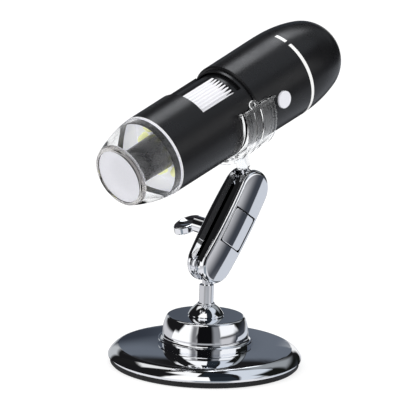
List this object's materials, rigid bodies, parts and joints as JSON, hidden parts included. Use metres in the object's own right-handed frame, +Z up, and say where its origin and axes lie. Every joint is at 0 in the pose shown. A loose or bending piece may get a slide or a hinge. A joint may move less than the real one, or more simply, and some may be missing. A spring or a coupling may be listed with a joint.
{
  "type": "usb digital microscope",
  "caption": "Tubular digital microscope with clear light cap and focus wheel, held in a clear clip on a ball-jointed clamp arm over a round weighted chrome base.",
  "frame": {"origin": "centre of the round base's underside, on the table", "axes": "+Z up along the stem, -Y toward the lens end of the tube, +X toward the focus window's side"},
  "size_m": [0.0698, 0.1105, 0.1211],
  "materials": {
    "foot_pad": "matte black rubber",
    "base_plate": "mirror chrome on pressed steel",
    "base_weight": "raw cast slug",
    "base_screws": "plain steel",
    "dome": "mirror chrome",
    "collar_nut": "mirror chrome, turned",
    "stem": "mirror chrome, turned",
    "swivel_washer": "plain steel",
    "swivel_nut": "plain steel",
    "lower_ball_stud": "polished ball",
    "arm_front_plate": "mirror chrome, die cast",
    "arm_rear_plate": "mirror chrome, die cast",
    "arm_inset": "mirror chrome panel",
    "clamp_nut": "plain steel",
    "thumb_screw": "mirror chrome",
    "upper_ball_stud": "polished ball",
    "clip": "clear moulded polycarbonate",
    "clear_cap": "clear moulded plastic",
    "front_window": "frosted clear disc",
    "front_tube": "satin black",
    "led_board": "white solder mask",
    "leds": "pale yellow-green epoxy",
    "lens_guide": "matte black",
    "sensor_board": "green solder mask",
    "image_sensor": "dark sensor package",
    "board_screws": "plain steel",
    "rear_housing": "satin black",
    "end_cap": "satin black",
    "white_ring": "white ring",
    "cable_gland": "soft black rubber",
    "tact_switch": "black switch body",
    "main_board": "green solder mask",
    "focus_wheel": "satin black",
    "wheel_grip": "silver ridged inlay",
    "lens_barrel": "satin black",
    "guide_pin": "ground steel",
    "objective_lens": "coated glass",
    "lens_retainer": "black anodised ring",
    "snap_button": "white button cap"
  },
  "bodies": {
    "base": {"foot_pad": "foot_pad", "base_plate": "base_plate", "base_weight": "base_weight", "base_screws": "base_screws", "dome": "dome"},
    "stem": {"collar_nut": "collar_nut", "stem": "stem", "swivel_washer": "swivel_washer", "swivel_nut": "swivel_nut", "lower_ball_stud": "lower_ball_stud"},
    "arm": {"arm_front_plate": "arm_front_plate", "arm_rear_plate": "arm_rear_plate", "arm_inset": "arm_inset", "clamp_nut": "clamp_nut"},
    "thumb_screw": {"thumb_screw": "thumb_screw"},
    "ball": {"upper_ball_stud": "upper_ball_stud"},
    "clip": {"clip": "clip"},
    "scope": {"clear_cap": "clear_cap", "front_window": "front_window", "front_tube": "front_tube", "led_board": "led_board", "leds": "leds", "lens_guide": "lens_guide", "sensor_board": "sensor_board", "image_sensor": "image_sensor", "board_screws": "board_screws", "rear_housing": "rear_housing", "end_cap": "end_cap", "white_ring": "white_ring", "cable_gland": "cable_gland", "tact_switch": "tact_switch", "main_board": "main_board"},
    "wheel": {"focus_wheel": "focus_wheel", "wheel_grip": "wheel_grip"},
    "lens": {"lens_barrel": "lens_barrel", "guide_pin": "guide_pin", "objective_lens": "objective_lens", "lens_retainer": "lens_retainer"},
    "button": {"snap_button": "snap_button"}
  },
  "joints": [
    {"name": "stem_swivel", "type": "hinge", "parent": "base", "child": "stem", "pos_m": [0, 0, 0.0178], "axis": [0, 0, 1], "continuous": true},
    {"name": "arm_tilt", "type": "hinge", "parent": "stem", "child": "arm", "pos_m": [0, 0, 0.03566], "axis": [0.9989, -0.0254, -0.0396], "range_deg": [-28, 50]},
    {"name": "clip_tilt", "type": "hinge", "parent": "arm", "child": "ball", "pos_m": [0.0016, 0.01829, 0.06416], "axis": [0.9989, -0.0254, -0.0396], "range_deg": [-70, 7]},
    {"name": "clip_spin", "type": "hinge", "parent": "ball", "child": "clip", "pos_m": [0.0016, 0.01829, 0.06416], "axis": [-0.0523, -0.3416, 0.9384], "continuous": true},
    {"name": "scope_turn", "type": "hinge", "parent": "clip", "child": "scope", "pos_m": [0.00001, -0.04458, 0.07347], "axis": [0, 0.9397, 0.342], "continuous": true},
    {"name": "focus_wheel_turn", "type": "hinge", "parent": "scope", "child": "wheel", "pos_m": [0.00001, -0.04458, 0.07347], "axis": [0, 0.9397, 0.342], "range_deg": [-45, 135]},
    {"name": "lens_slide", "type": "slide", "parent": "scope", "child": "lens", "axis": [0, 0.9397, 0.342], "range_m": [-0.0012, 0.0036]},
    {"name": "snap_button_press", "type": "slide", "parent": "scope", "child": "button", "axis": [-0.9998, -0.006, 0.0164], "range_m": [0, 0.0003], "stiffness_N_per_m": 1000, "springref_m": -0.0005},
    {"name": "thumb_screw_turn", "type": "hinge", "parent": "arm", "child": "thumb_screw", "pos_m": [0.00066, 0.00753, 0.04739], "axis": [0.9989, -0.0254, -0.0396], "range_deg": [0, 540]}
  ],
  "couplings": [
    {"joint": "lens_slide", "follows": "focus_wheel_turn", "m_per_rad": 0.0015278}
  ]
}
